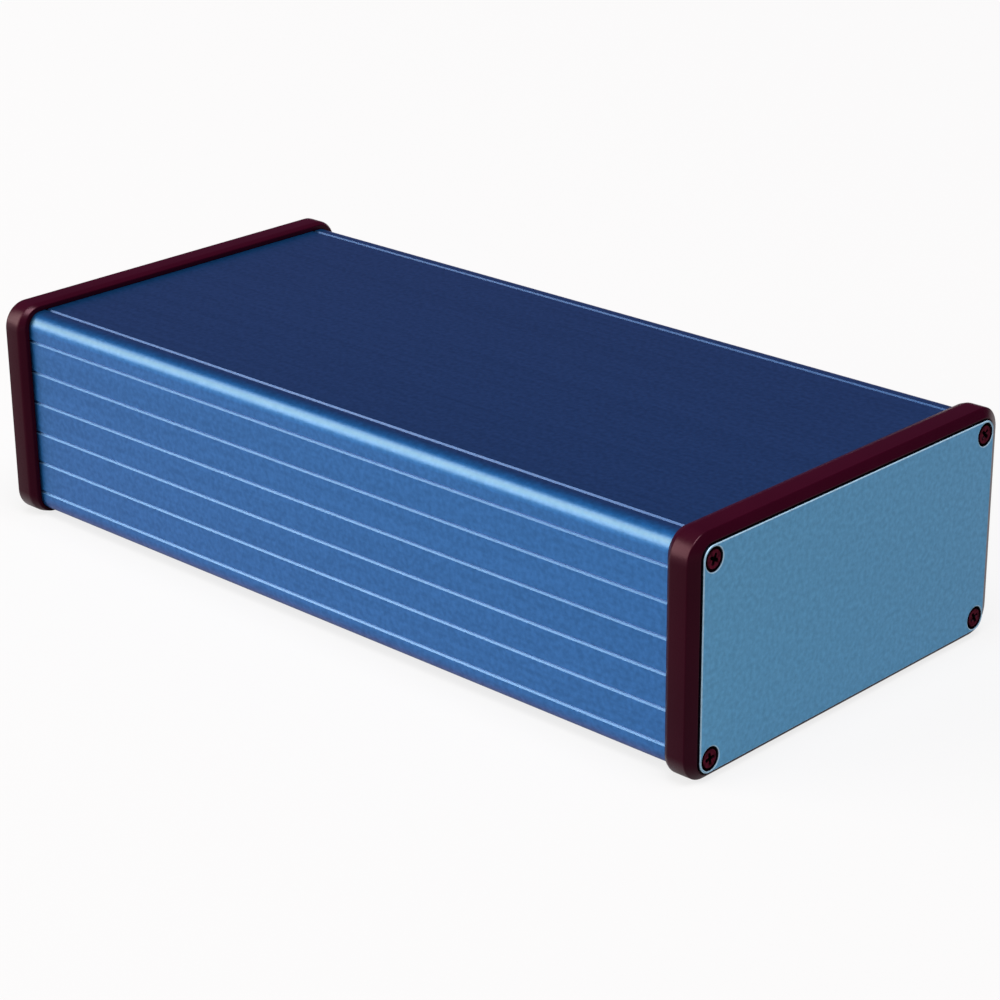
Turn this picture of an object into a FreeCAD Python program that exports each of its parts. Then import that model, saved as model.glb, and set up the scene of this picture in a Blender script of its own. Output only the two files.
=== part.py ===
import FreeCAD, Part
import math
import os
import Sketcher

# Extruded aluminium instrument case, closed at each end by a moulded bezel and a flat panel.
# X runs along the case, Y across it, Z up. Everything is in millimetres.
# Each piece is drawn about the middle of the case's section, then placed.

DRIVING_SIZES = [
    # extruded body
    ("body_length", 220.0),
    ("body_width", 103.0),
    ("body_height", 53.0),
    ("body_corner", 4.0),
    ("side_wall", 1.6),
    ("floor_wall", 1.8),
    # slide-in cover plate
    ("cover_thickness", 2.0),
    ("lip_inset", 5.8),
    ("lip_thickness", 1.0),
    ("tongue_reach", 1.15),
    ("tongue_gap", 0.1),
    ("cover_gap", 0.05),
    ("parting_chamfer", 0.5),
    # shallow V lines pressed along both long sides
    ("groove_margin_top", 6.9),
    ("groove_margin_bottom", 5.6),
    ("groove_count", 6),
    ("groove_depth", 0.5),
    ("groove_half_width", 0.45),
    # round screw channels in the four corners
    ("port_from_side", 4.0),
    ("port_from_face", 4.0),
    ("port_wall", 1.4),
    ("port_bore", 3.0),
    ("port_slit", 1.2),
    # board guides inside both long sides
    ("guide_count", 5),
    ("guide_slot", 1.8),
    ("guide_rib", 1.2),
    ("guide_reach", 1.4),
    ("guide_sink", 0.3),
    # moulded bezels
    ("bezel_wall", 1.5),
    ("skirt_length", 5.0),
    ("skirt_proud", 1.3),
    ("skirt_proud_bottom", 0.8),
    ("shoulder_run", 1.5),
    ("nose_proud_side", 2.6),
    ("nose_proud_top", 1.8),
    ("nose_proud_bottom", 1.0),
    ("nose_setback", 1.2),
    ("lip_set_in", 0.2),
    ("socket_gap", 0.1),
    ("window_margin", 2.6),
    ("ear_size", 7.0),
    # end panels
    ("panel_thickness", 1.5),
    ("panel_sunk", 0.9),
    ("panel_inset", 0.8),
    ("panel_corner", 3.0),
    ("panel_gap", 0.3),
    ("clearance_hole", 3.6),
    ("countersink", 5.8),
    # countersunk screws
    ("screw_core", 2.8),
    ("screw_length", 12.5),
    ("head_sunk", 0.15),
    ("head_rim", 0.1),
    ("recess_width", 0.8),
    ("recess_span", 2.8),
    ("recess_depth", 0.8),
]

# How far each of the eight screws happens to be turned, in degrees.
SCREW_TURNS = (38.0, 12.0, 24.0, 51.0, 8.0, 63.0, 30.0, 45.0)


class Size:
    """A number together with the sheet formula that gives it."""

    def __init__(self, value, text):
        self.value = float(value)
        self.text = text

    def join(self, other, sign, value):
        return Size(value, "(%s %s %s)" % (self.text, sign, other.text))

    def __add__(self, other):
        other = sized(other)
        return self.join(other, "+", self.value + other.value)

    def __sub__(self, other):
        other = sized(other)
        return self.join(other, "-", self.value - other.value)

    def __mul__(self, other):
        other = sized(other)
        return self.join(other, "*", self.value * other.value)

    def __truediv__(self, other):
        other = sized(other)
        return self.join(other, "/", self.value / other.value)

    def __neg__(self):
        return Size(-self.value, "(0 - %s)" % self.text)


def sized(number):
    if isinstance(number, Size):
        return number
    return Size(number, repr(float(number)))


ZERO = sized(0.0)

# How far added and cut shapes run past the faces that they meet.
OVERRUN = sized(0.3)
SEAT_ANGLE = 45.0
FULL_TURN = 360.0

doc = FreeCAD.newDocument("instrument_case")


def fill_sheet():
    """Write the driving sizes into the sheet and return them by name."""
    sheet = doc.addObject("Spreadsheet::Sheet", "sizes")
    sizes = {}
    for row, (name, number) in enumerate(DRIVING_SIZES, start=1):
        sheet.set("A%d" % row, name)
        sheet.set("B%d" % row, str(number))
        sheet.setAlias("B%d" % row, name)
        sizes[name] = Size(number, "sizes.%s" % name)
    doc.recompute()
    return sizes


size = fill_sheet()

# Derived sizes shared by several pieces, measured from the middle of the section.
half_width = size["body_width"] / 2
half_height = size["body_height"] / 2
half_length = size["body_length"] / 2
port_y = half_width - size["port_from_side"]
port_z = half_height - size["port_from_face"]
port_radius = size["port_bore"] / 2
cover_under = half_height - size["cover_thickness"]
lip_edge = half_width - size["lip_inset"]
slot_top = half_height - size["lip_thickness"]
panel_half_width = half_width - size["panel_inset"]
panel_half_height = half_height - size["panel_inset"]
panel_back = size["bezel_wall"]
bezel_front = size["bezel_wall"] + size["panel_sunk"]
groove_span = size["body_height"] - size["groove_margin_top"] - size["groove_margin_bottom"]
groove_pitch = groove_span / (size["groove_count"] - 1)
head_radius = size["countersink"] / 2 - size["head_sunk"] - size["head_rim"]
core_radius = size["screw_core"] / 2
middle_height = half_height + size["nose_proud_bottom"]


def bind(feature, prop, amount):
    """Set one property from the sheet."""
    feature.setExpression(prop, amount.text)


def new_body(name, placement):
    body = doc.addObject("PartDesign::Body", name)
    body.Label = name
    body.Placement = placement
    return body


def origin_feature(body, role):
    for feature in body.Origin.OriginFeatures:
        if feature.Role == role:
            return feature
    raise ValueError("no origin feature " + role)


def new_sketch(body, name, offset=ZERO, plane="YZ_Plane"):
    """A sketch on one of the body's own planes, moved along that plane's normal."""
    sketch = body.newObject("Sketcher::SketchObject", name)
    sketch.AttachmentSupport = [(origin_feature(body, plane), "")]
    sketch.MapMode = "FlatFace"
    sketch.AttachmentOffset = FreeCAD.Placement(
        FreeCAD.Vector(0, 0, offset.value), FreeCAD.Rotation())
    bind(sketch, ".AttachmentOffset.Base.z", offset)
    return sketch


def pin(sketch, geometry, point, kind, amount):
    """Fix one coordinate of a sketch point, measured from the sketch origin."""
    axis = -2 if kind == "DistanceX" else -1
    if amount.value == 0.0:
        sketch.addConstraint(Sketcher.Constraint("PointOnObject", geometry, point, axis))
        return
    if amount.value > 0.0:
        rule = Sketcher.Constraint(kind, -1, 1, geometry, point, amount.value)
    else:
        amount = -amount
        rule = Sketcher.Constraint(kind, geometry, point, -1, 1, amount.value)
    index = sketch.addConstraint(rule)
    sketch.setExpression("Constraints[%d]" % index, amount.text)


def draw_polygon(sketch, corners):
    """Closed outline through the given corners, every corner bound to the sheet."""
    points = [FreeCAD.Vector(a.value, b.value, 0) for a, b in corners]
    first = sketch.GeometryCount
    count = len(points)
    for index in range(count):
        line = Part.LineSegment(points[index], points[(index + 1) % count])
        sketch.addGeometry(line, False)
    for index in range(count):
        following = first + (index + 1) % count
        sketch.addConstraint(
            Sketcher.Constraint("Coincident", first + index, 2, following, 1))
    for index, (a, b) in enumerate(corners):
        pin(sketch, first + index, 1, "DistanceX", a)
        pin(sketch, first + index, 1, "DistanceY", b)


def draw_box(sketch, low_a, high_a, low_b, high_b):
    draw_polygon(sketch, [(low_a, low_b), (high_a, low_b), (high_a, high_b), (low_a, high_b)])


def draw_circle(sketch, a, b, radius):
    centre = FreeCAD.Vector(a.value, b.value, 0)
    circle = Part.Circle(centre, FreeCAD.Vector(0, 0, 1), radius.value)
    index = sketch.addGeometry(circle, False)
    pin(sketch, index, 3, "DistanceX", a)
    pin(sketch, index, 3, "DistanceY", b)
    rule = sketch.addConstraint(Sketcher.Constraint("Radius", index, radius.value))
    sketch.setExpression("Constraints[%d]" % rule, radius.text)


def draw_rounded_box(sketch, half_a, low_b, high_b, radius):
    """Rectangle with four equal round corners, as wide to the left as to the right."""
    a = half_a.value
    low = low_b.value
    high = high_b.value
    r = radius.value
    sides = [
        ((-a + r, low), (a - r, low)),
        ((a, low + r), (a, high - r)),
        ((a - r, high), (-a + r, high)),
        ((-a, high - r), (-a, low + r)),
    ]
    centres = [(a - r, low + r), (a - r, high - r), (-a + r, high - r), (-a + r, low + r)]
    for start, end in sides:
        line = Part.LineSegment(FreeCAD.Vector(*start, 0), FreeCAD.Vector(*end, 0))
        sketch.addGeometry(line, False)
    quarter = math.pi / 2
    for index, centre in enumerate(centres):
        circle = Part.Circle(FreeCAD.Vector(*centre, 0), FreeCAD.Vector(0, 0, 1), r)
        start = (index - 1) * quarter
        sketch.addGeometry(Part.ArcOfCircle(circle, start, start + quarter), False)
    for index in range(4):
        straight = "Horizontal" if index % 2 == 0 else "Vertical"
        sketch.addConstraint(Sketcher.Constraint(straight, index))
        sketch.addConstraint(Sketcher.Constraint("Tangent", index, 2, 4 + index, 1))
        sketch.addConstraint(Sketcher.Constraint("Tangent", 4 + index, 2, (index + 1) % 4, 1))
    for index in range(5, 8):
        sketch.addConstraint(Sketcher.Constraint("Equal", 4, index))
    rule = sketch.addConstraint(Sketcher.Constraint("Radius", 4, r))
    sketch.setExpression("Constraints[%d]" % rule, radius.text)
    pin(sketch, 1, 1, "DistanceX", half_a)
    pin(sketch, 3, 1, "DistanceX", -half_a)
    pin(sketch, 2, 1, "DistanceY", high_b)
    pin(sketch, 0, 1, "DistanceY", low_b)


def pad(body, sketch, name, length):
    feature = body.newObject("PartDesign::Pad", name)
    feature.Profile = sketch
    feature.Length = length.value
    bind(feature, "Length", length)
    body.Tip = feature
    doc.recompute()
    return feature


def pocket(body, sketch, name, length):
    """Cut from the sketch plane against its normal; the cut has to remove material."""
    before = body.Shape.Volume
    feature = body.newObject("PartDesign::Pocket", name)
    feature.Profile = sketch
    feature.Length = length.value
    bind(feature, "Length", length)
    body.Tip = feature
    doc.recompute()
    if not body.Shape.Volume < before:
        raise ValueError(name + " removes nothing")
    return feature


def repeat_upwards(body, feature, name, span, count):
    """Repeat a feature along Z, the first one lowest."""
    pattern = body.newObject("PartDesign::LinearPattern", name)
    pattern.Originals = [feature]
    pattern.Direction = (origin_feature(body, "Z_Axis"), [""])
    pattern.Length = span.value
    pattern.Occurrences = int(count.value)
    bind(pattern, "Length", span)
    bind(pattern, "Occurrences", count)
    body.Tip = pattern
    doc.recompute()
    return pattern


def on_both_sides(draw, *amounts):
    """Call a drawing function for the near side and the far side."""
    for side in (-1.0, 1.0):
        draw(side, *amounts)


def screw_points():
    return [(port_y * a, port_z * b) for a in (-1.0, 1.0) for b in (-1.0, 1.0)]


def make_body_extrusion():
    """Open-topped channel with screw channels, board guides, lips and side V lines."""
    body = new_body("body_extrusion", FreeCAD.Placement())
    bind(body, ".Placement.Base.z", middle_height)
    start = -half_length
    length = size["body_length"]

    outline = new_sketch(body, "body_outline", start)
    draw_rounded_box(outline, half_width, -half_height, half_height, size["body_corner"])
    pad(body, outline, "body_block", length)

    inner_half_width = half_width - size["side_wall"]
    cavity = new_sketch(body, "cavity_outline", half_length)
    floor_top = size["floor_wall"] - half_height
    draw_box(cavity, -inner_half_width, inner_half_width, floor_top, cover_under)
    pocket(body, cavity, "cavity", length)

    rings = new_sketch(body, "port_rings", start)
    ring_radius = port_radius + size["port_wall"]
    for y, z in screw_points():
        draw_circle(rings, y, z, ring_radius)
    pad(body, rings, "ports", length)

    guide_span = groove_pitch * (size["guide_count"] - 1)
    lowest = -(guide_span / 2)
    root = inner_half_width + OVERRUN
    tip = inner_half_width - size["guide_reach"]
    half_slot = size["guide_slot"] / 2
    outer = half_slot + size["guide_rib"]
    ribs = new_sketch(body, "guide_rib_pair", start)
    sunk = new_sketch(body, "guide_slot_bottom", half_length)
    slot_bottom = inner_half_width + size["guide_sink"]

    def rib_pair(side):
        low_y, high_y = (tip, root) if side > 0 else (-root, -tip)
        draw_box(ribs, low_y, high_y, lowest + half_slot, lowest + outer)
        draw_box(ribs, low_y, high_y, lowest - outer, lowest - half_slot)

    def slot_pair(side):
        low_y, high_y = (tip, slot_bottom) if side > 0 else (-slot_bottom, -tip)
        draw_box(sunk, low_y, high_y, lowest - half_slot, lowest + half_slot)

    on_both_sides(rib_pair)
    rib_feature = pad(body, ribs, "guide_ribs", length)
    repeat_upwards(body, rib_feature, "guide_rib_rows", guide_span, size["guide_count"])
    on_both_sides(slot_pair)
    sunk_feature = pocket(body, sunk, "guide_slots", length)
    repeat_upwards(body, sunk_feature, "guide_slot_rows", guide_span, size["guide_count"])

    opening = new_sketch(body, "cover_opening", half_length)
    chamfer = size["parting_chamfer"]
    slot_end = lip_edge + size["tongue_reach"] + size["tongue_gap"]
    right = [
        (slot_end, cover_under),
        (slot_end, slot_top),
        (lip_edge, slot_top),
        (lip_edge, half_height - chamfer),
        (lip_edge + chamfer, half_height),
        (lip_edge + chamfer, half_height + OVERRUN),
    ]
    left = [(-y, z) for y, z in reversed(right)]
    draw_polygon(opening, right + left)
    pocket(body, opening, "cover_way", length)

    bores = new_sketch(body, "port_bores", half_length)
    for y, z in screw_points():
        draw_circle(bores, y, z, port_radius)
    pocket(body, bores, "port_bore_cut", length)

    slits = new_sketch(body, "port_slits", half_length)
    half_slit = size["port_slit"] / 2
    slit_reach = ring_radius + OVERRUN
    for y, z in screw_points():
        inward = y + slit_reach if y.value < 0 else y - slit_reach
        low_y, high_y = (y, inward) if y.value < 0 else (inward, y)
        draw_box(slits, low_y, high_y, z - half_slit, z + half_slit)
    pocket(body, slits, "port_slit_cut", length)

    vees = new_sketch(body, "side_vee", half_length)
    vee_z = size["groove_margin_bottom"] - half_height
    vee_root = half_width - size["groove_depth"]
    vee_half = size["groove_half_width"]
    for side in (-1.0, 1.0):
        draw_polygon(vees, [
            (half_width * side, vee_z - vee_half),
            (half_width * side, vee_z + vee_half),
            (vee_root * side, vee_z),
        ])
    vee_feature = pocket(body, vees, "side_vee_cut", length)
    repeat_upwards(body, vee_feature, "side_vee_rows", groove_span, size["groove_count"])
    return body


def make_slide_cover():
    """Flat plate with a stepped tongue along each edge, flush with the body's top."""
    body = new_body("slide_cover", FreeCAD.Placement())
    bind(body, ".Placement.Base.z", middle_height)
    section = new_sketch(body, "cover_section", -half_length)
    chamfer = size["parting_chamfer"]
    plate_half = lip_edge - size["cover_gap"]
    tongue_half = lip_edge + size["tongue_reach"]
    tongue_top = slot_top - size["tongue_gap"]
    right = [
        (tongue_half, cover_under),
        (tongue_half, tongue_top),
        (plate_half, tongue_top),
        (plate_half, half_height - chamfer),
        (plate_half - chamfer, half_height),
    ]
    left = [(-y, z) for y, z in reversed(right)]
    draw_polygon(section, right + left)
    pad(body, section, "cover_plate", size["body_length"])
    return body


def end_placement(direction):
    """Right end faces +X; the left end is the same piece turned half round."""
    turn = FreeCAD.Rotation(FreeCAD.Vector(0, 0, 1), 0.0 if direction > 0 else 180.0)
    base = FreeCAD.Vector(direction * half_length.value, 0, middle_height.value)
    return FreeCAD.Placement(base, turn)


def bind_end(body, direction, outward=ZERO):
    """Keep a piece of one end bound to the case's length and height."""
    bind(body, ".Placement.Base.x", (half_length + outward) * direction)
    bind(body, ".Placement.Base.z", middle_height)


def make_bezel(name, direction):
    """Moulded frame that caps the body's end and carries the panel in a shallow recess."""
    body = new_body(name, end_placement(direction))
    bind_end(body, direction)
    corner = size["body_corner"]
    side = size["nose_proud_side"]
    top = size["nose_proud_top"]
    bottom = size["nose_proud_bottom"]
    skirt = size["skirt_proud"]
    back = -size["skirt_length"]
    shoulder = back + size["shoulder_run"]
    nose = bezel_front - size["nose_setback"]
    set_in = -size["lip_set_in"]
    stations = [
        ("back_edge", back, skirt, skirt, size["skirt_proud_bottom"]),
        ("shoulder", shoulder, side, top, bottom),
        ("nose", nose, side, top, bottom),
        ("front_lip", bezel_front, set_in, set_in, set_in),
    ]
    sketches = []
    for label, x, proud_side, proud_top, proud_bottom in stations:
        sketch = new_sketch(body, "bezel_" + label, x)
        radius = corner + (proud_side + proud_top) / 2
        low = -half_height - proud_bottom
        high = half_height + proud_top
        draw_rounded_box(sketch, half_width + proud_side, low, high, radius)
        sketches.append(sketch)
    doc.recompute()
    shell = body.newObject("PartDesign::AdditiveLoft", "bezel_shell")
    shell.Profile = sketches[0]
    shell.Sections = sketches[1:]
    shell.Ruled = True
    body.Tip = shell
    doc.recompute()

    gap = size["socket_gap"]
    socket = new_sketch(body, "body_socket")
    socket_high = half_height + gap
    draw_rounded_box(socket, half_width + gap, -socket_high, socket_high, corner + gap)
    pocket(body, socket, "socket", size["skirt_length"])

    room = size["panel_gap"]
    recess = new_sketch(body, "panel_recess", bezel_front)
    recess_high = panel_half_height + room
    recess_corner = size["panel_corner"] + room
    draw_rounded_box(recess, panel_half_width + room, -recess_high, recess_high, recess_corner)
    pocket(body, recess, "recess", size["panel_sunk"])

    window = new_sketch(body, "window_outline", bezel_front)
    wide = half_width - size["window_margin"]
    tall = half_height - size["window_margin"]
    ear = size["ear_size"] - size["window_margin"]
    near_wide = wide - ear
    near_tall = tall - ear
    draw_polygon(window, [
        (-near_wide, -tall), (near_wide, -tall), (near_wide, -near_tall), (wide, -near_tall),
        (wide, near_tall), (near_wide, near_tall), (near_wide, tall), (-near_wide, tall),
        (-near_wide, near_tall), (-wide, near_tall), (-wide, -near_tall), (-near_wide, -near_tall),
    ])
    pocket(body, window, "window", bezel_front)

    holes = new_sketch(body, "bezel_holes", bezel_front)
    for y, z in screw_points():
        draw_circle(holes, y, z, size["clearance_hole"] / 2)
    pocket(body, holes, "screw_holes", bezel_front)
    return body


def make_end_panel(name, direction):
    """Flat plate with round corners and four countersunk holes."""
    body = new_body(name, end_placement(direction))
    bind_end(body, direction, panel_back)
    outline = new_sketch(body, "panel_outline")
    corner = size["panel_corner"]
    draw_rounded_box(outline, panel_half_width, -panel_half_height, panel_half_height, corner)
    thickness = size["panel_thickness"]
    pad(body, outline, "panel_plate", thickness)

    centres = new_sketch(body, "panel_holes", thickness)
    for y, z in screw_points():
        draw_circle(centres, y, z, size["clearance_hole"] / 2)
    before = body.Shape.Volume
    holes = body.newObject("PartDesign::Hole", "countersunk_holes")
    holes.Profile = centres
    holes.ThreadType = "None"
    holes.DepthType = "ThroughAll"
    holes.HoleCutType = "Countersink"
    holes.HoleCutCountersinkAngle = SEAT_ANGLE * 2
    holes.Diameter = size["clearance_hole"].value
    holes.HoleCutDiameter = size["countersink"].value
    bind(holes, "Diameter", size["clearance_hole"])
    bind(holes, "HoleCutDiameter", size["countersink"])
    body.Tip = holes
    doc.recompute()
    if not body.Shape.Volume < before:
        raise ValueError("countersunk holes remove nothing")
    return body


def make_screw(name, direction, y, z, turn):
    """Countersunk screw with a cross recess; the head faces out of the case's end."""
    out = bezel_front - size["panel_sunk"] + size["panel_thickness"] - size["head_sunk"]
    x = (half_length + out) * direction
    z_world = middle_height + z
    facing = FreeCAD.Rotation(FreeCAD.Vector(0, 0, 1), 0.0 if direction > 0 else 180.0)
    spin = FreeCAD.Rotation(FreeCAD.Vector(1, 0, 0), turn)
    base = FreeCAD.Vector(x.value, y.value, z_world.value)
    body = new_body(name, FreeCAD.Placement(base, facing.multiply(spin)))
    bind(body, ".Placement.Base.x", x)
    bind(body, ".Placement.Base.y", y)
    bind(body, ".Placement.Base.z", z_world)

    rim = -size["head_rim"]
    neck = rim - (head_radius - core_radius)
    end = -size["screw_length"]
    profile = new_sketch(body, "screw_profile", plane="XY_Plane")
    draw_polygon(profile, [
        (ZERO, ZERO),
        (ZERO, head_radius),
        (rim, head_radius),
        (neck, core_radius),
        (end, core_radius),
        (end, ZERO),
    ])
    turned = body.newObject("PartDesign::Revolution", "turned_screw")
    turned.Profile = profile
    turned.ReferenceAxis = (origin_feature(body, "X_Axis"), [""])
    turned.Angle = FULL_TURN
    body.Tip = turned
    doc.recompute()

    cross = new_sketch(body, "cross_recess")
    arm = size["recess_span"] / 2
    half = size["recess_width"] / 2
    draw_polygon(cross, [
        (-half, -arm), (half, -arm), (half, -half), (arm, -half),
        (arm, half), (half, half), (half, arm), (-half, arm),
        (-half, half), (-arm, half), (-arm, -half), (-half, -half),
    ])
    pocket(body, cross, "cross_cut", size["recess_depth"])
    return body


def make_all():
    bodies = [make_body_extrusion(), make_slide_cover()]
    number = 0
    for end, direction in (("left", -1.0), ("right", 1.0)):
        bodies.append(make_bezel(end + "_bezel", direction))
        bodies.append(make_end_panel(end + "_end_panel", direction))
        for y, z in screw_points():
            across = "near" if y.value < 0 else "far"
            level = "lower" if z.value < 0 else "upper"
            name = "screw_%s_%s_%s" % (end, across, level)
            bodies.append(make_screw(name, direction, y, z, SCREW_TURNS[number]))
            number += 1
    return bodies


def write_parts(bodies):
    """Check every object, then write one file for each piece."""
    doc.recompute()
    for thing in doc.Objects:
        if "Invalid" in thing.State or "Error" in thing.State:
            raise ValueError(thing.Name + " is not valid")
    os.makedirs("parts", exist_ok=True)
    for body in bodies:
        shape = body.Shape
        if shape.isNull() or not shape.isValid():
            raise ValueError(body.Label + " has no valid shape")
        shape.exportStep("parts/%s.step" % body.Label)


write_parts(make_all())
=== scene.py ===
"""Extruded aluminium instrument case: its finishes, moulded bezels, plates, screws and studio."""

import math

import bpy
import numpy as np
from mathutils import Matrix, Vector


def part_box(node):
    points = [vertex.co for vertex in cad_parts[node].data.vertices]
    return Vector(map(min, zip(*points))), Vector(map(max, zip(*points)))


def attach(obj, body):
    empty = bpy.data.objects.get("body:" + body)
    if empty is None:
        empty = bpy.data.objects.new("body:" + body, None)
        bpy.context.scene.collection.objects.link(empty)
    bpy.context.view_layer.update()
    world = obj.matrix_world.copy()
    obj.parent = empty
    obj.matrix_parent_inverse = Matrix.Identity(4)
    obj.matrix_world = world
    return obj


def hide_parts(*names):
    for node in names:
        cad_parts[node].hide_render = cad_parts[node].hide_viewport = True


bl_info = {
    "name": "Extruded Instrument Case",
    "version": (1, 0, 0),
    "blender": (4, 5, 0),
    "location": "3D View > Sidebar > Case",
    "description": "Dresses an extruded aluminium case with its finishes and fine shapes",
    "category": "Object",
}

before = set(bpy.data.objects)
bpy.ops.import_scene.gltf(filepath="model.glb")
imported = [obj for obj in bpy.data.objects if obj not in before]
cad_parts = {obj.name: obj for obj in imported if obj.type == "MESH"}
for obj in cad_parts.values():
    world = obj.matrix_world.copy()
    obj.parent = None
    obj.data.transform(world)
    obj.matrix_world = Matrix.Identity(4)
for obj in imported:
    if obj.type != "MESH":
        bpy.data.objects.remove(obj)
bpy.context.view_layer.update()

MM = 0.001
ENDS = {"left": -1.0, "right": 1.0}
CORNERS = {"near_lower": (-1, -1), "near_upper": (-1, 1), "far_lower": (1, -1), "far_upper": (1, 1)}
# Screws are driven home by hand, so each cross has stopped at its own angle, in degrees.
SCREW_TURNS = {
    "left_near_lower": 38, "left_near_upper": 12, "left_far_lower": 24, "left_far_upper": 51,
    "right_near_lower": 8, "right_near_upper": 63, "right_far_lower": 30, "right_far_upper": 45,
}


def linear(hex_colour):
    """Linear RGB of an sRGB hex colour."""
    digits = hex_colour.lstrip("#")
    shares = [int(digits[start:start + 2], 16) / 255 for start in (0, 2, 4)]
    return tuple(s / 12.92 if s <= 0.04045 else ((s + 0.055) / 1.055) ** 2.4 for s in shares)


def length(name, description, millimetres):
    """A size that a user may change, given in millimetres and kept in metres."""
    return bpy.props.FloatProperty(name=name, description=description, default=millimetres * MM,
                                   unit="LENGTH", precision=5)


def colour(name, description, hex_colour):
    """A colour that a user may change."""
    return bpy.props.FloatVectorProperty(name=name, description=description, size=3, min=0, max=1,
                                         default=linear(hex_colour), subtype="COLOR")


BODY_LOW, BODY_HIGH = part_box("body_extrusion")
PANEL_LOW, PANEL_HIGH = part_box("right_end_panel")
HALF_LENGTH = BODY_HIGH.x
HALF_WIDTH = BODY_HIGH.y
HALF_HEIGHT = (BODY_HIGH.z - BODY_LOW.z) / 2
MIDDLE = (BODY_HIGH.z + BODY_LOW.z) / 2


class CaseSizes(bpy.types.PropertyGroup):
    """Sizes of the finished pieces."""
    body_corner: length("Body corner", "Outer corner radius of the extrusion", 4.0)
    skirt_length: length("Skirt", "How far the bezel reaches back over the body", 5.0)
    skirt_proud: length("Skirt proud", "Height of the skirt's back edge above the side", 1.3)
    skirt_proud_bottom: length("Skirt proud below", "The same height under the case", 0.8)
    shoulder_run: length("Shoulder", "Length of the slope behind the bezel's crown", 1.5)
    proud_side: length("Proud at the side", "Height of the bezel's crown over the side", 2.6)
    proud_top: length("Proud at the top", "Height of the bezel's crown over the top", 1.8)
    proud_bottom: length("Proud below", "Height of the bezel's crown under the case", 1.0)
    front: length("Bezel front", "Bezel's front rim beyond the body's end", 2.4)
    nose_setback: length("Nose", "How far the front slopes back to the crown", 1.2)
    wall: length("Wall", "Thickness of the wall that the panel lies on", 1.5)
    panel_corner: length("Panel corner", "Corner radius of the end panel", 3.0)
    panel_edge: length("Panel edge", "Radius of the panel's rolled edge", 0.28)
    panel_gap: length("Panel gap", "Gap between the panel and its recess", 0.3)
    clearance_hole: length("Clearance hole", "Diameter of a screw's hole", 3.6)
    countersink: length("Countersink", "Diameter of a countersink at the panel's face", 5.8)
    hole_side: length("Hole from side", "From the body's side to a screw's middle", 4.0)
    hole_face: length("Hole from top", "From the body's top to a screw's middle", 4.0)
    head: length("Screw head", "Diameter of a screw's head", 5.3)
    core: length("Screw core", "Diameter of a screw's shank", 2.8)
    screw_length: length("Screw length", "Length of a screw with its head", 12.5)
    head_sunk: length("Head sunk", "Depth of the head under the panel's face", 0.15)
    recess_span: length("Cross span", "Span of the cross recess", 2.8)
    recess_width: length("Cross width", "Width of one arm of the cross recess", 0.8)
    recess_depth: length("Cross depth", "Depth of the cross recess", 0.8)


class CaseColours(bpy.types.PropertyGroup):
    """Colours of the finishes."""
    body: colour("Body", "Anodised extrusion", "#1060A0")
    # The edge, seam and line colours are painted highlights: paler colours where the upper rounded
    # edges, the seams' broken edges and the V lines' upward flanks face the light.
    edge: colour("Edge", "Upper rounded edges of the extrusion, with thinner dye", "#315E7C")
    seam: colour("Seam", "Broken edges of the two seams", "#2E5484")
    line: colour("Line", "Burnished V lines along the extrusion", "#4E7CAA")
    panel: colour("Panel", "Anodised end plate", "#4690B8")
    # Painted highlight: the pale colour on the rolled edge and the holes' broken rims stands in for
    # the light they catch.
    panel_edge: colour("Panel edge", "Rolled edge of the end plate", "#A6C6D6")
    # Painted shade: a dark colour in the countersinks' cones and the plate's side walls, where
    # shade falls.
    cut_painted_shade: colour("Rough cut", "Cones and sawn walls of the end plate", "#161A2A")
    bezel: colour("Bezel", "Moulded end frame", "#250310")
    screw: colour("Screw", "Plated screw", "#440F1E")
    # Painted shade: a near-black colour on each screw's sloping rim and in its cross.
    screw_painted_shade: colour("Screw recess", "Blackened rim and cross of a screw", "#12070C")
    floor: colour("Floor", "Studio floor", "#AAAAAA")


def add_node(tree, kind, sockets=None, **settings):
    """One node with its settings. A socket gets a number, a colour or another node's output."""
    node = tree.nodes.new(kind)
    for name, value in settings.items():
        setattr(node, name, value)
    for key, value in (sockets or {}).items():
        if isinstance(value, bpy.types.NodeSocket):
            tree.links.new(value, node.inputs[key])
        else:
            node.inputs[key].default_value = value
    return node


def new_material(name):
    """An empty node material and its tree."""
    material = bpy.data.materials.new(name)
    material.use_nodes = True
    material.node_tree.nodes.clear()
    return material, material.node_tree


def finish_material(tree, shader):
    """Carry the shader to the surface output."""
    add_node(tree, "ShaderNodeOutputMaterial", {"Surface": shader.outputs["BSDF"]})


def shade(base, factor):
    """A colour made lighter or darker, with its alpha."""
    return tuple(min(1.0, channel * factor) for channel in base) + (1.0,)


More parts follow.
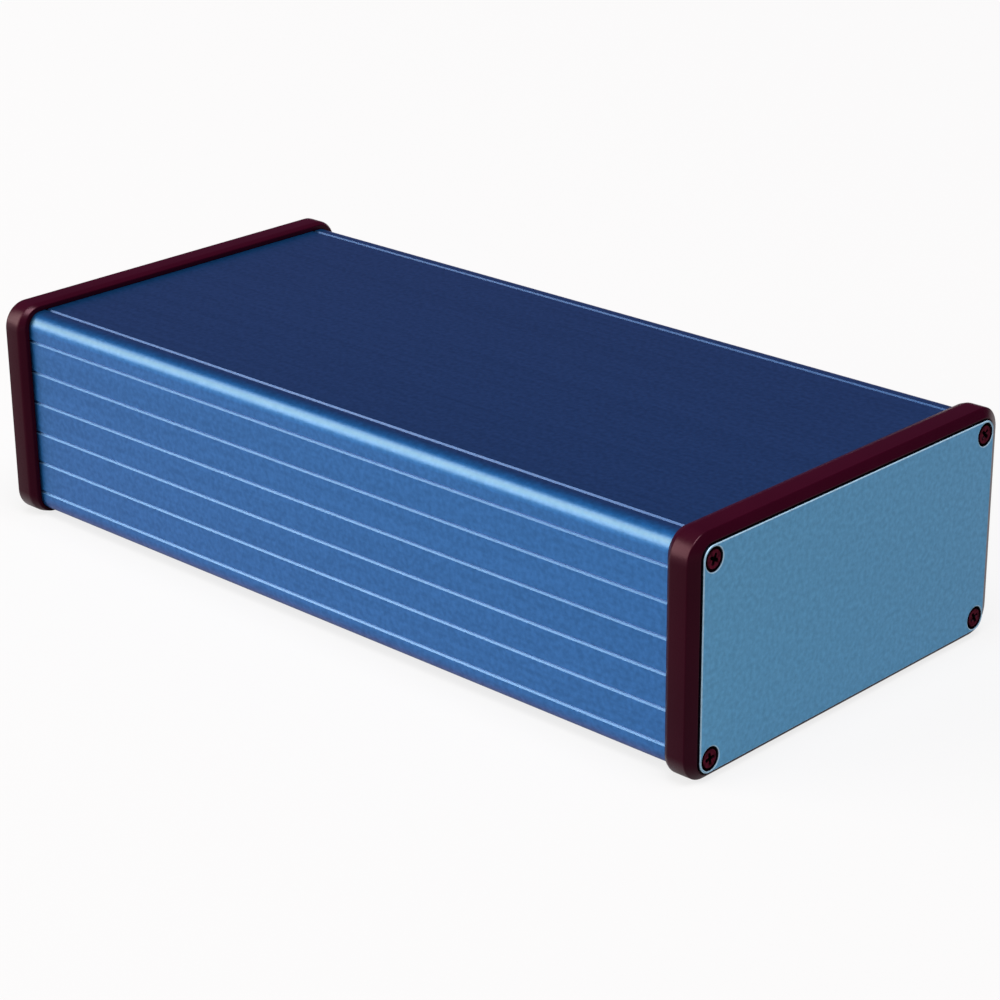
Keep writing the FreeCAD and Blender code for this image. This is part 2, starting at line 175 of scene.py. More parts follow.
def anodised_aluminium(name, base, grain, roughness, coat, uneven):
    """Etched and dyed aluminium.

    The etch leaves a fine silky grain under a clear oxide layer, so the metal's own colour shows in
    what it mirrors, and the oxide adds a soft white gloss where a lamp stands in the right place.
    Faint lines run along the extrusion, as the die leaves them. The last value is how far the dye
    and the oxide vary, as a share of each.
    """
    material, tree = new_material(name)
    place = add_node(tree, "ShaderNodeTexCoord").outputs["Object"]
    # The grain's real pits are about 0.05 mm, too fine to show, so it is drawn at the size given.
    pits = add_node(tree, "ShaderNodeTexNoise", {
        "Vector": place, "Scale": 1 / grain, "Detail": 3.0})
    # The die's lines are about 1.1 mm apart and fade over about 110 mm of their length.
    stretch = add_node(tree, "ShaderNodeMapping", {
        "Vector": place, "Scale": (9.0, 900.0, 900.0)})
    lines = add_node(tree, "ShaderNodeTexNoise", {
        "Vector": stretch.outputs[0], "Scale": 1.0, "Detail": 2.0})
    # The dye takes unevenly, in specks of about 1.2 mm.
    specks = add_node(tree, "ShaderNodeTexNoise", {"Vector": place, "Scale": 850.0, "Detail": 3.0})
    blend = add_node(tree, "ShaderNodeMath", {
        0: lines.outputs["Fac"], 1: 0.4, 2: specks.outputs["Fac"]}, operation="MULTIPLY_ADD")
    share = add_node(tree, "ShaderNodeMapRange", {
        "Value": blend.outputs[0], "From Min": 0.5, "From Max": 0.9})
    dye = add_node(tree, "ShaderNodeMix", {
        "Factor": share.outputs[0], 6: shade(base, 1 - uneven), 7: shade(base, 1 + uneven)},
        data_type="RGBA")
    oxide = add_node(tree, "ShaderNodeMapRange", {
        "Value": share.outputs[0], "To Min": coat * (1 - uneven), "To Max": coat * (1 + uneven)})
    gloss = add_node(tree, "ShaderNodeMapRange", {
        "Value": pits.outputs["Fac"], "From Min": 0.3, "From Max": 0.7,
        "To Min": roughness - 0.04, "To Max": roughness + 0.04})
    bump = add_node(tree, "ShaderNodeBump", {
        "Strength": 0.25, "Distance": 0.04 * MM, "Height": pits.outputs["Fac"]})
    shader = add_node(tree, "ShaderNodeBsdfPrincipled", {
        "Base Color": dye.outputs[2], "Metallic": 1.0, "Roughness": gloss.outputs[0],
        "Coat Weight": oxide.outputs[0], "Coat Roughness": 0.3, "Coat IOR": 1.6,
        "Specular Tint": shade(base, 1.0), "Normal": bump.outputs[0]})
    finish_material(tree, shader)
    return material


def recolour(tree, masks, colour):
    """Give the main shader another base colour, by the share that the masks' product gives."""
    shader = next(node for node in tree.nodes if node.type == "BSDF_PRINCIPLED")
    share = masks[0]
    for mask in masks[1:]:
        both = add_node(tree, "ShaderNodeMath", {0: share, 1: mask}, operation="MULTIPLY")
        share = both.outputs[0]
    before = shader.inputs["Base Color"].links[0].from_socket
    mix = add_node(tree, "ShaderNodeMix", {"Factor": share, 6: before, 7: shade(colour, 1.0)},
                   data_type="RGBA")
    tree.links.new(mix.outputs[2], shader.inputs["Base Color"])


def paint_edge_highlights(material, edge, seam, line):
    """Paint highlights on an extrusion: paler colours where its edges and flanks face the light.

    The upper rounded edges get a greyer colour, a painted highlight that keeps their highlight
    pale.
    The broken edges of the two seams get the same painted highlight. The upward flanks of the V
    lines get a paler colour, a painted highlight, so that each line shows as a thread of light.
    """
    tree = material.node_tree
    place = add_node(tree, "ShaderNodeTexCoord").outputs["Object"]
    spot = add_node(tree, "ShaderNodeSeparateXYZ", {0: place})
    aside = add_node(tree, "ShaderNodeMath", {0: spot.outputs["Y"]}, operation="ABSOLUTE")
    facing = add_node(tree, "ShaderNodeNewGeometry").outputs["Normal"]
    upward = add_node(tree, "ShaderNodeSeparateXYZ", {0: facing}).outputs["Z"]
    # Neither upright nor level, so it lies on a rounded edge.
    rising = add_node(tree, "ShaderNodeMapRange", {
        "Value": upward, "From Min": 0.1, "From Max": 0.5})
    level = add_node(tree, "ShaderNodeMapRange", {
        "Value": upward, "From Min": 0.85, "From Max": 0.6})
    # Painted highlight on the upper rounded edges.
    recolour(tree, (rising.outputs[0], level.outputs[0]), edge)
    # A flank that looks up and sideways, whose normal has an upward part of 0.3 to 0.9.
    flank = add_node(tree, "ShaderNodeMath", {0: upward, 1: 0.6, 2: 0.3}, operation="COMPARE")
    # The seams' broken edges lie 5.2 to 6.5 mm in from the sides.
    seams = add_node(tree, "ShaderNodeMath", {
        0: aside.outputs[0], 1: HALF_WIDTH - 5.85 * MM, 2: 0.65 * MM}, operation="COMPARE")
    # Painted highlight on the seams' broken edges.
    recolour(tree, (flank.outputs[0], seams.outputs[0]), seam)
    # A V line's flank lies up to 0.6 mm in from a side, and clear of the rounded edges.
    sunk = add_node(tree, "ShaderNodeMath", {
        0: aside.outputs[0], 1: HALF_WIDTH - 0.31 * MM, 2: 0.29 * MM}, operation="COMPARE")
    height = add_node(tree, "ShaderNodeMath", {
        0: spot.outputs["Z"], 1: MIDDLE, 2: HALF_HEIGHT - 4.2 * MM}, operation="COMPARE")
    # Painted highlight on the V lines' upward flanks.
    recolour(tree, (flank.outputs[0], sunk.outputs[0], height.outputs[0]), line)


def moulded_plastic(name, base):
    """Injection moulded ABS from a spark-eroded tool.

    The tool's matt texture spreads the gloss, so the flats stay dark. Handling polishes the rounded
    corners, which show a broad sheen: there the normal has both a sideways and an upward part.
    """
    material, tree = new_material(name)
    place = add_node(tree, "ShaderNodeTexCoord").outputs["Object"]
    # Spark-eroded texture of about 0.25 mm.
    texture = add_node(tree, "ShaderNodeTexNoise", {
        "Vector": place, "Scale": 4000.0, "Detail": 2.0})
    # The melt's flow leaves clouds of about 17 mm.
    flow = add_node(tree, "ShaderNodeTexNoise", {"Vector": place, "Scale": 60.0, "Detail": 2.0})
    tone = add_node(tree, "ShaderNodeMix", {
        "Factor": flow.outputs["Fac"], 6: shade(base, 0.85), 7: shade(base, 1.15)},
        data_type="RGBA")
    gloss = add_node(tree, "ShaderNodeMapRange", {
        "Value": texture.outputs["Fac"], "From Min": 0.3, "From Max": 0.7,
        "To Min": 0.27, "To Max": 0.35})
    bump = add_node(tree, "ShaderNodeBump", {
        "Strength": 0.3, "Distance": 0.03 * MM, "Height": texture.outputs["Fac"]})
    normal = add_node(tree, "ShaderNodeNewGeometry").outputs["Normal"]
    facing = add_node(tree, "ShaderNodeSeparateXYZ", {0: normal})
    both = add_node(tree, "ShaderNodeMath", {0: facing.outputs["Y"], 1: facing.outputs["Z"]},
                    operation="MULTIPLY")
    bend = add_node(tree, "ShaderNodeMath", {0: both.outputs[0]}, operation="ABSOLUTE")
    sheen = add_node(tree, "ShaderNodeMapRange", {
        "Value": bend.outputs[0], "From Min": 0.02, "From Max": 0.25,
        "To Min": 0.08, "To Max": 0.27})
    shader = add_node(tree, "ShaderNodeBsdfPrincipled", {
        "Base Color": tone.outputs[2], "Roughness": gloss.outputs[0], "IOR": 1.45,
        "Normal": bump.outputs[0], "Specular IOR Level": sheen.outputs[0],
        "Specular Tint": (1.0, 0.5, 0.62, 1.0)})
    finish_material(tree, shader)
    return material


def plated_steel(name, base, sheen):
    """Dark tinted plating on a pressed steel screw: a satin metal, a little uneven.

    The sheen is how pale the metal turns where it is seen flat along.
    """
    material, tree = new_material(name)
    place = add_node(tree, "ShaderNodeTexCoord").outputs["Object"]
    # The plating's blotches are about 0.8 mm across.
    crystals = add_node(tree, "ShaderNodeTexNoise", {
        "Vector": place, "Scale": 1250.0, "Detail": 2.0})
    blotch = add_node(tree, "ShaderNodeMapRange", {
        "Value": crystals.outputs["Fac"], "From Min": 0.35, "From Max": 0.65})
    tone = add_node(tree, "ShaderNodeMix", {
        "Factor": blotch.outputs[0], 6: shade(base, 0.45), 7: shade(base, 1.5)}, data_type="RGBA")
    gloss = add_node(tree, "ShaderNodeMapRange", {
        "Value": crystals.outputs["Fac"], "From Min": 0.3, "From Max": 0.7,
        "To Min": 0.3, "To Max": 0.45})
    shader = add_node(tree, "ShaderNodeBsdfPrincipled", {
        "Base Color": tone.outputs[2], "Metallic": 1.0, "Roughness": gloss.outputs[0],
        "Specular Tint": (sheen, sheen, sheen, 1.0)})
    finish_material(tree, shader)
    return material


def painted_floor(name, base):
    """Matt white studio floor."""
    material, tree = new_material(name)
    place = add_node(tree, "ShaderNodeTexCoord").outputs["Object"]
    # Roller stipple of about 3 mm.
    stipple = add_node(tree, "ShaderNodeTexNoise", {"Vector": place, "Scale": 330.0, "Detail": 1.0})
    tone = add_node(tree, "ShaderNodeMix", {
        "Factor": stipple.outputs["Fac"], 6: shade(base, 0.995), 7: shade(base, 1.005)},
        data_type="RGBA")
    paint = add_node(tree, "ShaderNodeBsdfPrincipled", {
        "Base Color": tone.outputs[2], "Roughness": 0.9, "IOR": 1.3})
    # The floor shows white to the camera and less of it in the metal, and keeps some of the paint's
    # own look, so that the case's shadow stays.
    white = add_node(tree, "ShaderNodeEmission", {"Color": (1.0, 1.0, 1.0, 1.0), "Strength": 1.0})
    rays = add_node(tree, "ShaderNodeLightPath").outputs
    seen = add_node(tree, "ShaderNodeMath", {
        0: rays["Is Camera Ray"], 1: rays["Is Transmission Ray"]}, operation="MAXIMUM")
    plain = add_node(tree, "ShaderNodeMath", {0: seen.outputs[0], 1: 0.8}, operation="MULTIPLY")
    mirrored = add_node(tree, "ShaderNodeMath", {0: rays["Is Glossy Ray"], 1: 0.3},
                        operation="MULTIPLY")
    share = add_node(tree, "ShaderNodeMath", {0: plain.outputs[0], 1: mirrored.outputs[0]},
                     operation="MAXIMUM")
    mixed = add_node(tree, "ShaderNodeMixShader", {
        0: share.outputs[0], 1: paint.outputs[0], 2: white.outputs[0]})
    add_node(tree, "ShaderNodeOutputMaterial", {"Surface": mixed.outputs[0]})
    return material


def grid_quads(rows, columns, close_rows=False, offset=0):
    """Four-sided faces between neighbours of a grid whose columns close round on themselves."""
    bands = np.arange(rows if close_rows else rows - 1)
    row, column = np.meshgrid(bands, np.arange(columns), indexing="ij")
    here, after = row * columns, (row + 1) % rows * columns
    beside = (column + 1) % columns
    corners = [here + column, here + beside, after + beside, after + column]
    return np.stack(corners, axis=-1).reshape(-1, 4) + offset


def fan(pole, first, count, flip):
    """Triangles that close a ring of points to one pole."""
    ring = first + np.arange(count)
    beside = first + (np.arange(count) + 1) % count
    corners = [np.full(count, pole), beside, ring] if flip else [np.full(count, pole), ring, beside]
    return np.stack(corners, axis=-1)


def smooth_faces(mesh, sharp):
    """Smooth shading, except over edges sharper than that many degrees."""
    mesh.shade_smooth()
    mesh.set_sharp_from_angle(angle=math.radians(sharp))


def new_mesh(name, points, faces, sharp=35.0):
    """A mesh of those points and faces, smooth except over its sharp edges."""
    mesh = bpy.data.meshes.new(name)
    mesh.from_pydata(points.tolist(), [], [face for block in faces for face in block.tolist()])
    mesh.validate()
    smooth_faces(mesh, sharp)
    return mesh


def finish_mesh(mesh, finishes, plane, reach=0.0, depth=1.0):
    """Give a mesh its finishes: one in front of a plane, one behind it, and a painted shade.

    A face gets the painted shade, a dark colour where shade falls, when its middle lies that depth
    behind the plane, or within that reach of a screw's axis and deeper than a hole's broken rim.
    """
    rim = 0.1 * MM
    mesh.materials.clear()
    for finish in finishes:
        mesh.materials.append(finish)
    sizes = bpy.context.scene.case_sizes
    centre = np.empty(len(mesh.polygons) * 3)
    mesh.polygons.foreach_get("center", centre)
    centre = np.abs(centre.reshape(-1, 3) - (0, 0, MIDDLE))
    across = centre[:, 1] - HALF_WIDTH + sizes.hole_side
    up = centre[:, 2] - HALF_HEIGHT + sizes.hole_face
    hole = (np.hypot(across, up) < reach) & (centre[:, 0] < plane - rim)
    # Index 2 is the painted shade in the holes and the deep cuts.
    index = np.where(hole | (centre[:, 0] < plane - depth), 2, 1)
    index[centre[:, 0] > plane] = 0
    mesh.polygons.foreach_set("material_index", index.astype(np.int32))


def new_piece(name, mesh, slot, *nodes):
    """An object for a mesh, which rides on the case and stands for those nodes."""
    piece = bpy.data.objects.new(name, mesh)
    bpy.context.scene.collection.objects.link(piece)
    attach(piece, "root")
    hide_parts(*nodes)
    return piece


def rounded_rectangles(half, low, high, radius, steps=12):
    """Points round rounded rectangles, one rectangle to a row.

    Each corner is a quarter circle: its middle lies one radius in from both sides, and a point is
    that middle plus the radius times the cosine and the sine of an angle that grows by a quarter
    turn. The straight sides join one corner's last point to the next corner's first.
    """
    quarter = np.linspace(0, math.pi / 2, steps + 1)
    angle = np.concatenate([quarter + corner * math.pi / 2 for corner in range(4)])
    side = np.repeat([1, -1, -1, 1], steps + 1)
    upper = np.repeat([True, True, False, False], steps + 1)
    columns = (np.asarray(value, float)[:, None] for value in (half, low, high, radius))
    half, low, high, radius = columns
    across = side * (half - radius) + radius * np.cos(angle)
    up = np.where(upper, high - radius, low + radius) + radius * np.sin(angle)
    return across, up


def softened(stations, cuts, steps=4):
    """A closed profile whose corners are rounded.

    Each corner is cut back by its length along both neighbouring sides and replaced by a parabola
    whose handle is the corner itself: (1 - t) squared times the first cut point, plus 2 t (1 - t)
    times the corner, plus t squared times the second.
    """
    back = np.roll(stations, 1, axis=0) - stations
    ahead = np.roll(stations, -1, axis=0) - stations
    first = stations + back * (cuts / np.linalg.norm(back[:, :2], axis=1))[:, None]
    second = stations + ahead * (cuts / np.linalg.norm(ahead[:, :2], axis=1))[:, None]
    t = np.linspace(0, 1, steps + 1)[None, :, None]
    curve = ((1 - t) ** 2 * first[:, None] + 2 * t * (1 - t) * stations[:, None]
             + t ** 2 * second[:, None])
    return curve.reshape(-1, stations.shape[1])


def place_at_end(out, across, up, direction):
    """World points from distances out of the body's end, across the case and up from its middle."""
    out, across, up = np.broadcast_arrays(out, across, up)
    return np.stack([direction * (HALF_LENGTH + out), across, MIDDLE + up], axis=-1).reshape(-1, 3)


def bezel_mesh(sizes, name, direction):
    """Moulded end frame: a closed profile carried round the rounded rectangle of the body.

    A station of the profile holds its distance out of the body's end and how far it stands off the
    body's sides, top and bottom, with the corner radius there, and its corners are softened.
    """
    s = sizes
    crown = s.front - s.nose_setback
    soft = s.body_corner + (s.proud_side + s.proud_top) / 2
    # How far off the body's outline the socket, the front, the panel's recess and the window lie.
    gap = 0.1 * MM
    lip = -0.2 * MM
    rim = s.panel_gap - 0.8 * MM
    inner, inner_corner = -2.0 * MM, 0.3 * MM
    recess_corner = s.panel_corner + s.panel_gap
    skirt, below = s.skirt_proud, s.skirt_proud_bottom
    stations = np.array([
        (-s.skirt_length, gap, gap, gap, s.body_corner + gap),
        (-s.skirt_length, skirt, skirt, below, s.body_corner + skirt),
        (s.shoulder_run - s.skirt_length, s.proud_side, s.proud_top, s.proud_bottom, soft),
        (crown, s.proud_side, s.proud_top, s.proud_bottom, soft),
        (s.front, lip, lip, lip, s.body_corner + lip),
        (s.front, rim, rim, rim, recess_corner),
        (s.wall, rim, rim, rim, recess_corner),
        (s.wall, inner, inner, inner, inner_corner),
        (0.0, inner, inner, inner, inner_corner),
        (0.0, gap, gap, gap, s.body_corner + gap),
    ])
    cuts = np.array([0.05, 0.3, 0.5, 0.25, 0.15, 0.12, 0.05, 0.1, 0.1, 0.05]) * MM
    profile = softened(stations, cuts)
    across, up = rounded_rectangles(HALF_WIDTH + profile[:, 1], -HALF_HEIGHT - profile[:, 3],
                                    HALF_HEIGHT + profile[:, 2], profile[:, 4])
    blocks = [place_at_end(profile[:, 0][:, None], across, up, direction)]
    quads = [grid_quads(*across.shape, close_rows=True)]
    count = across.size
    for side, level in CORNERS.values():
        out, across, up = ear_grid(s, side, level)
        blocks.append(place_at_end(out, across, up, direction))
        quads.append(grid_quads(*across.shape, close_rows=True, offset=count))
        count += across.size
    if direction < 0:
        quads = [block[:, ::-1] for block in quads]
    return new_mesh(name, np.concatenate(blocks), quads)


def ear_grid(sizes, side, level, steps=12):
    """Square ear that a screw passes through, as a grid between its hole and its outline.

    A point on the outline runs round the square at an even pace. The point on the hole lies at the
    same angle, at the hole's radius. Both are taken at the wall's back and front. The square's
    sides lie 2 mm and 7 mm in from the body's outline.
    """
    t = np.arange(steps) / steps
    edge = np.concatenate([-1 + 2 * t, np.ones(steps), 1 - 2 * t, -np.ones(steps)])
    turn = np.concatenate([-np.ones(steps), -1 + 2 * t, np.ones(steps), 1 - 2 * t])
    hole_across = HALF_WIDTH - sizes.hole_side
    hole_up = HALF_HEIGHT - sizes.hole_face
    outer, inner = 2.0 * MM, 7.0 * MM
    reach = (inner - outer) / 2
    square_across = side * (HALF_WIDTH - outer - reach) + reach * edge
    square_up = level * (HALF_HEIGHT - outer - reach) + reach * turn
    angle = np.arctan2(square_up - level * hole_up, square_across - side * hole_across)
    ring_across = side * hole_across + sizes.clearance_hole / 2 * np.cos(angle)
    ring_up = level * hole_up + sizes.clearance_hole / 2 * np.sin(angle)
    out = np.array([0.0, 0.0, sizes.wall, sizes.wall])[:, None]
    across = np.stack([ring_across, square_across, square_across, ring_across])
    up = np.stack([ring_up, square_up, square_up, ring_up])
    return np.broadcast_to(out, across.shape), across, up


def plate_mesh(sizes, name, direction):
    """End plate: a thin closed profile carried round its outline, with both faces filled.

    The profile runs up the cut edge and over a quarter circle of the edge's radius on to the face,
    then a little further in, so that the face stays flat.
    """
    s = sizes
    back = s.wall
    front = PANEL_HIGH.x - HALF_LENGTH
    half, tall = PANEL_HIGH.y, (PANEL_HIGH.z - PANEL_LOW.z) / 2
    turn = np.linspace(0, math.pi / 2, 6)
    inward = s.panel_edge * (1 - np.cos(turn))
    drop = s.panel_edge * (1 - np.sin(turn))
    small, margin = 0.1 * MM, 0.05 * MM
    out = np.concatenate([[back, back, back + small], front - drop, [front]])
    inset = np.concatenate([[small * 2, small, 0.0], inward, [inward[-1] + margin]])
    across, up = rounded_rectangles(half - inset, inset - tall, tall - inset,
                                    s.panel_corner - inset, steps=16)
    points = place_at_end(out[:, None], across, up, direction)
    rows, columns = across.shape
    sides = grid_quads(rows, columns)
    first = np.arange(columns)[::-1][None]
    last = (np.arange(columns) + (rows - 1) * columns)[None]
    faces = [sides, first, last]
    if direction < 0:
        faces = [block[:, ::-1] for block in faces]
    return new_mesh(name, points, faces)


def countersink_mesh(sizes, direction):
    """Cutter for four countersunk holes: a profile of distance and radius, turned about an axis.

    The radius is the clearance hole's below the cone. Inside the cone it grows as fast as the depth
    shrinks, and over the lip it grows faster, where the sharp rim is broken.
    """
    front = PANEL_HIGH.x - HALF_LENGTH
    narrow = sizes.clearance_hole / 2
    wide = sizes.countersink / 2
    lip = 0.12 * MM
    below, above, flare = 0.5 * MM, 0.3 * MM, 0.9 * MM
    columns = 96
    out = np.array([sizes.wall - below, front - (wide - narrow), front - lip, front, front + above])
    radius = np.array([narrow, narrow, wide - lip, wide + lip, wide + flare])
    angle = np.linspace(0, 2 * math.pi, columns, endpoint=False)
    points, faces, count = [], [], 0
    for side, level in CORNERS.values():
        across = side * (HALF_WIDTH - sizes.hole_side) + radius[:, None] * np.cos(angle)
        up = level * (HALF_HEIGHT - sizes.hole_face) + radius[:, None] * np.sin(angle)
        points.append(place_at_end(out[:, None], across, up, direction))
        first = np.arange(columns)[::-1][None] + count
        last = np.arange(columns)[None] + count + (len(out) - 1) * columns
        block = [grid_quads(len(out), columns, offset=count), first, last]
        faces += block if direction > 0 else [part[:, ::-1] for part in block]
        count += across.size
    return new_mesh("countersinks", np.concatenate(points), faces)


def cut_away(mesh, cutter_mesh):
    """The mesh less the cutter, with its smooth shading set again."""
    plate = bpy.data.objects.new("plate_blank", mesh)
    cutter = bpy.data.objects.new("plate_cutter", cutter_mesh)
    for blank in (plate, cutter):
        bpy.context.scene.collection.objects.link(blank)
    cut = plate.modifiers.new("cut", "BOOLEAN")
    cut.operation = "DIFFERENCE"
    cut.solver = "EXACT"
    cut.object = cutter
    graph = bpy.context.evaluated_depsgraph_get()
    result = bpy.data.meshes.new_from_object(plate.evaluated_get(graph))
    bpy.data.objects.remove(plate)
    bpy.data.objects.remove(cutter)
    smooth_faces(result, sharp=22.0)
    return result


def screw_mesh(sizes, name, direction, side, level, turn):
    """Countersunk screw: a profile turned about its axis, with the cross pressed into its head.

    The profile holds radius and depth: a flat top, a ring that slopes down to the widest edge, the
    seat's cone, the shank and its broken end. Over the flat top a point sinks by the recess's depth
    times the greater of two arms, each a trough whose sides and ends run down steadily.
    """
    s = sizes
    rows, columns = 50, 144
    ring, clearance, seat, step, broken = 0.6 * MM, 0.01 * MM, 0.11 * MM, 0.05 * MM, 0.3 * MM
    flat, head, core = s.head / 2 - ring, s.head / 2 - clearance, s.core / 2
    inner = np.linspace(0.04 * MM, flat - step, rows)
    outer = np.array([
        (flat, 0.01 * MM), (flat + step, 0.04 * MM), (head, seat), (core, seat + head - core),
        (core, s.screw_length - broken), (core - broken, s.screw_length)])
    radius = np.concatenate([inner, outer[:, 0]])[:, None]
    depth = np.concatenate([np.zeros(rows), outer[:, 1]])[:, None]
    angle = np.linspace(0, 2 * math.pi, columns, endpoint=False)
    across, up = radius * np.cos(angle), radius * np.sin(angle)
    depth = np.broadcast_to(depth, across.shape).copy()
    spin = math.radians(turn) * direction
    one = across * math.cos(spin) + up * math.sin(spin)
    two = up * math.cos(spin) - across * math.sin(spin)
    cross = np.maximum(press_arm(s, one, two), press_arm(s, two, one))
    depth[:rows] += s.recess_depth * cross[:rows]
    face = PANEL_HIGH.x - HALF_LENGTH - s.head_sunk
    centre = side * (HALF_WIDTH - s.hole_side), level * (HALF_HEIGHT - s.hole_face)
    points = place_at_end(face - depth, centre[0] + across, centre[1] + up, direction)
    poles = place_at_end(face - np.array([s.recess_depth, s.screw_length]), *centre, direction)
    count = across.size
    faces = [grid_quads(*across.shape)[:, ::-1], fan(count, 0, columns, False),
             fan(count + 1, count - columns, columns, True)]
    if direction < 0:
        faces = [block[:, ::-1] for block in faces]
    return new_mesh(name, np.concatenate([points, poles]), faces, sharp=30.0)


def press_arm(sizes, along, across):
    """Share of the recess's depth under one arm of the cross: a trough with sloping sides and ends.

    Across the arm the share grows steadily from the sides and is full over the middle third. Along
    it the share grows from the tip and is full over the inner half.
    """
    half = sizes.recess_width / 2
    reach = sizes.recess_span / 2
    sides = np.clip((half - np.abs(across)) / half, 0, 1)
    ends = np.clip((reach - np.abs(along)) / (0.5 * reach), 0, 1)
    return np.minimum(1, 1.5 * sides) * ends


class CASE_OT_body(bpy.types.Operator):
    """Give the extruded body and its sliding cover their anodised finish"""
    bl_idname = "case.body"
    bl_label = "Body and Cover"

    def execute(self, context):
        colours = context.scene.case_colours
        finish = anodised_aluminium("anodised_extrusion", colours.body, grain=0.4 * MM,
                                    roughness=0.44, coat=0.62, uneven=0.14)
        # Painted highlights on the rounded edges, the seams and the V lines.
        paint_edge_highlights(finish, colours.edge, colours.seam, colours.line)
        for name in ("body_extrusion", "slide_cover"):
            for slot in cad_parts[name].material_slots:
                slot.material = finish
        return {"FINISHED"}


class CASE_OT_bezels(bpy.types.Operator):
    """Make the moulded end frames"""
    bl_idname = "case.bezels"
    bl_label = "Bezels"

    def execute(self, context):
        finish = moulded_plastic("moulded_abs_matt", context.scene.case_colours.bezel)
        for end, direction in ENDS.items():
            mesh = bezel_mesh(context.scene.case_sizes, end + "_bezel_moulding", direction)
            mesh.materials.append(finish)
            new_piece(end + "_bezel_moulding", mesh, "bezel_plastic", end + "_bezel")
        return {"FINISHED"}


class CASE_OT_panels(bpy.types.Operator):
    """Make the end plates with their broken edges and countersunk holes"""
    bl_idname = "case.panels"
    bl_label = "End Plates"

    def execute(self, context):
        colours = context.scene.case_colours
        sizes = context.scene.case_sizes
        grain = 0.35 * MM
        face = anodised_aluminium("anodised_plate", colours.panel, grain,
                                  roughness=0.5, coat=0.7, uneven=0.11)
        # Painted highlight: a pale colour on the rolled edge and the holes' broken rims.
        edge = anodised_aluminium("anodised_edge_highlight", colours.panel_edge, grain,
                                  roughness=0.75, coat=0.2, uneven=0.1)
        # Painted shade in the countersinks' cones and the plate's side walls.
        dark = anodised_aluminium("anodised_painted_shade", colours.cut_painted_shade, grain,
                                  roughness=0.5, coat=0.2, uneven=0.1)
        plane = PANEL_HIGH.x - 0.02 * MM
        for end, direction in ENDS.items():
            blank = plate_mesh(sizes, end + "_plate", direction)
            mesh = cut_away(blank, countersink_mesh(sizes, direction))
            mesh.name = end + "_plate"
            finish_mesh(mesh, (face, edge, dark), plane, sizes.countersink / 2, sizes.panel_edge)
            new_piece(end + "_plate", mesh, "panel_anodised", end + "_end_panel")
        return {"FINISHED"}


class CASE_OT_screws(bpy.types.Operator):
    """Make the countersunk screws with their cross recesses"""
    bl_idname = "case.screws"
    bl_label = "Screws"

    def execute(self, context):
        colours = context.scene.case_colours
        sizes = context.scene.case_sizes
        finish = plated_steel("plated_steel_dark", colours.screw, sheen=0.55)
        # Painted shade on each screw's sloping rim and in its cross, behind the head's flat top.
        recess = plated_steel("steel_painted_shade", colours.screw_painted_shade, sheen=0.08)
        plane = PANEL_HIGH.x - sizes.head_sunk - 0.03 * MM
        for end, direction in ENDS.items():
            for corner, (side, level) in CORNERS.items():
                name = end + "_" + corner
                mesh = screw_mesh(sizes, "cross_screw_" + name, direction, side, level,
                                  SCREW_TURNS[name])
                finish_mesh(mesh, (finish, recess), plane)
                new_piece("cross_screw_" + name, mesh, "screw_black", "screw_" + name)
        return {"FINISHED"}


class CASE_OT_stage(bpy.types.Operator):
    """Lay the floor and set the lights and the camera"""
    bl_idname = "case.stage"
    bl_label = "Stage"

    def execute(self, context):
        scene = context.scene
        count, reach, below = 21, 5, 0.2 * MM
        line = np.linspace(-reach, reach, count)
        across, along = np.meshgrid(line, line)
        points = np.stack([across, along, np.full(across.shape, -below)], axis=-1).reshape(-1, 3)
        cells = np.arange(count - 1)
        corner = (cells[:, None] * count + cells).reshape(-1, 1)
        mesh = new_mesh("studio_floor", points, [corner + np.array([0, 1, count + 1, count])])
        mesh.materials.append(painted_floor("painted_floor", scene.case_colours.floor))
        floor = bpy.data.objects.new("studio_floor", mesh)
        scene.collection.objects.link(floor)

        above = bpy.data.lights.new("overhead_light", "SUN")
        above.energy = 5.2
        above.angle = math.radians(42)
        ceiling = bpy.data.objects.new("overhead_light", above)
        ceiling.rotation_euler = shine_from(0.2, -0.15, 0.97)
        box = bpy.data.lights.new("side_softbox", "AREA")
        box.shape = "RECTANGLE"
        box.size = box.size_y = 1.9
        box.color = (1.0, 0.93, 0.84)
        radiance = 6.5
        box.energy = radiance * math.pi * box.size * box.size_y
        side = bpy.data.objects.new("side_softbox", box)
        side.location = Vector((-1.50, -1.72, 1.10))
        side.rotation_euler = shine_from(-1.50, -1.72, 1.06)
        for light in (ceiling, side):
            scene.collection.objects.link(light)

        world = bpy.data.worlds.new("studio_room")
        world.use_nodes = True
        world.node_tree.nodes.clear()
        room = add_node(world.node_tree, "ShaderNodeBackground", {
            "Color": (0.13, 0.05, 0.10, 1.0), "Strength": 1.0})
        add_node(world.node_tree, "ShaderNodeOutputWorld", {"Surface": room.outputs[0]})
        scene.world = world

        scene.camera = photograph_camera()
        scene.collection.objects.link(scene.camera)
        scene.view_settings.view_transform = "Standard"
        return {"FINISHED"}


def shine_from(*direction):
    """Rotation of a light that stands in that direction and shines back."""
    return Vector(direction).to_track_quat("Z", "Y").to_euler()


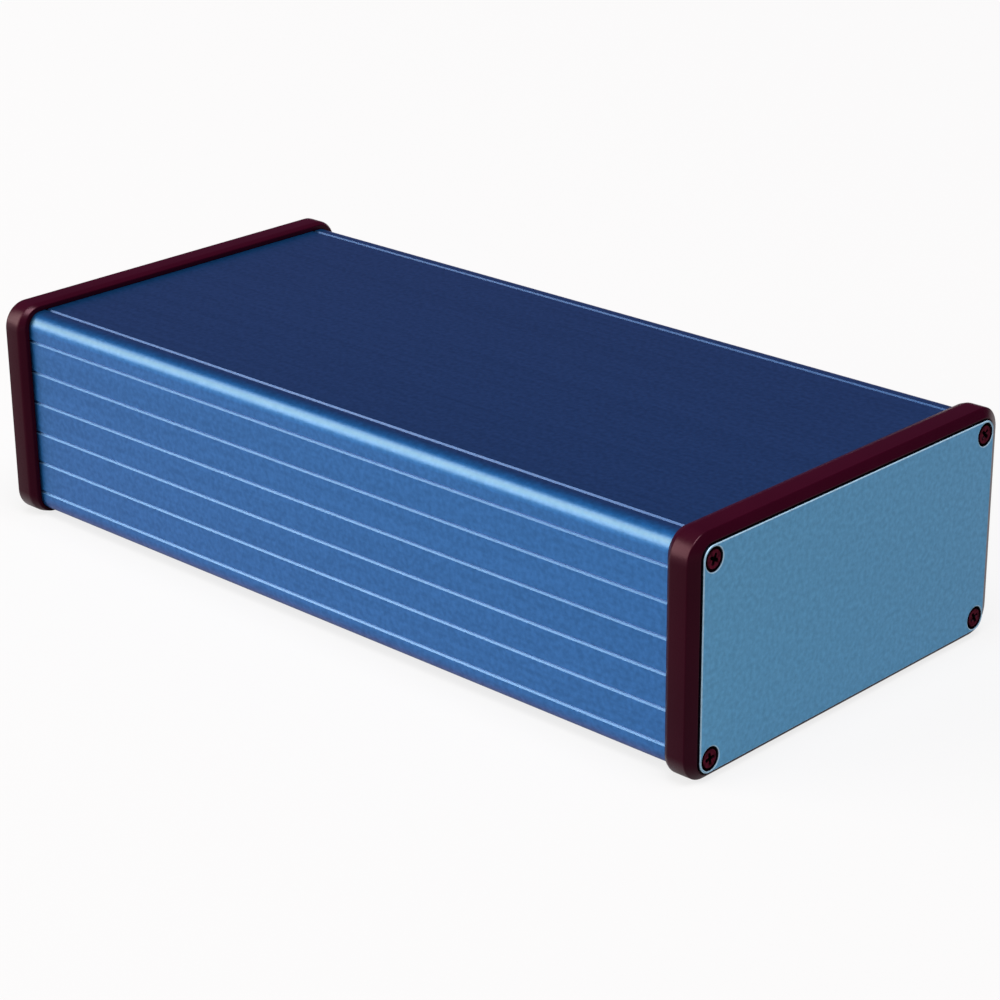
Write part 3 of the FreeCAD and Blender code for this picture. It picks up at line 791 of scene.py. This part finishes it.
def photograph_camera():
    """Camera at the photograph's place: its turn round the case, its height and its slight roll."""
    turn, rise, roll = (math.radians(angle) for angle in (43.739, 22.198, -0.52))
    back = Vector((math.sin(turn) * math.cos(rise), -math.cos(turn) * math.cos(rise),
                   math.sin(rise)))
    right = (-back).cross(Vector((0, 0, 1))).normalized()
    up = right.cross(-back)
    level_right = math.cos(roll) * right + math.sin(roll) * up
    level_up = math.cos(roll) * up - math.sin(roll) * right
    lens = bpy.data.cameras.new("photo_camera")
    lens.sensor_width = 36.0
    lens.lens = 100.97
    lens.clip_start = 0.01
    lens.clip_end = 50.0
    camera = bpy.data.objects.new("photo_camera", lens)
    axes = Matrix((level_right, level_up, back)).transposed()
    place = Matrix.Translation((0.439512, -0.451025, 0.274390))
    camera.matrix_world = place @ axes.to_4x4()
    return camera


class CASE_PT_sidebar(bpy.types.Panel):
    """Steps that dress the case, in order"""
    bl_idname = "CASE_PT_sidebar"
    bl_label = "Instrument Case"
    bl_space_type = "VIEW_3D"
    bl_region_type = "UI"
    bl_category = "Case"

    def draw(self, context):
        for step in STEPS:
            self.layout.operator(step.bl_idname)
        for group in (context.scene.case_sizes, context.scene.case_colours):
            column = self.layout.column()
            for name in group.bl_rna.properties.keys():
                if name not in {"rna_type", "name"}:
                    column.prop(group, name)


STEPS = (CASE_OT_stage, CASE_OT_body, CASE_OT_bezels, CASE_OT_panels, CASE_OT_screws)
CLASSES = (CaseSizes, CaseColours) + STEPS + (CASE_PT_sidebar,)


def register():
    """Make the classes and their settings known."""
    for item in CLASSES:
        bpy.utils.register_class(item)
    bpy.types.Scene.case_sizes = bpy.props.PointerProperty(type=CaseSizes)
    bpy.types.Scene.case_colours = bpy.props.PointerProperty(type=CaseColours)


def unregister():
    """Take the settings and the classes away again."""
    del bpy.types.Scene.case_colours
    del bpy.types.Scene.case_sizes
    for item in reversed(CLASSES):
        bpy.utils.unregister_class(item)


def main():
    """Dress the case step by step."""
    register()
    bpy.ops.case.stage()
    bpy.ops.case.body()
    bpy.ops.case.bezels()
    bpy.ops.case.panels()
    bpy.ops.case.screws()


if __name__ == "__main__":
    main()
